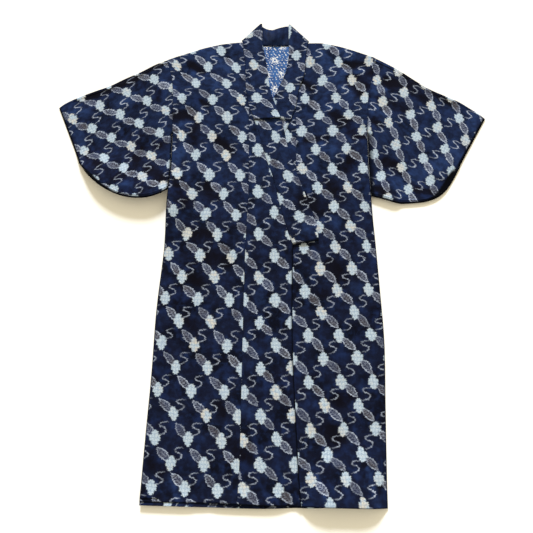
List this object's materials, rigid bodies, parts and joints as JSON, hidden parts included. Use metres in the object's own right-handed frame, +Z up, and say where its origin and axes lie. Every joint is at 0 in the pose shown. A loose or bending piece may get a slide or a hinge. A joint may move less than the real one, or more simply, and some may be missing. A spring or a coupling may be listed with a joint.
{
  "type": "kimono",
  "caption": "Everyday unlined kimono laid flat on its back, with short round-cornered sleeves, overlapping front panels and a folded collar.",
  "frame": {"origin": "centre of the garment's footprint, at the floor it lies on", "axes": "+Y towards the collar, +Z up from the floor, +X towards the wearer's left"},
  "size_m": [1.304, 1.4569, 0.0393],
  "materials": {
    "indigo_cotton": "matt plain-weave cotton with pale ikat flowers",
    "blue_lining": "matt printed cotton with small white dots"
  },
  "bodies": {
    "root": {"body_right": "indigo_cotton", "body_left": "indigo_cotton", "sleeve_right": "indigo_cotton", "sleeve_left": "indigo_cotton", "overlap_right": "indigo_cotton", "overlap_left": "indigo_cotton", "collar": "indigo_cotton", "collar_cover": "indigo_cotton", "lining_back": "blue_lining"}
  },
  "joints": []
}
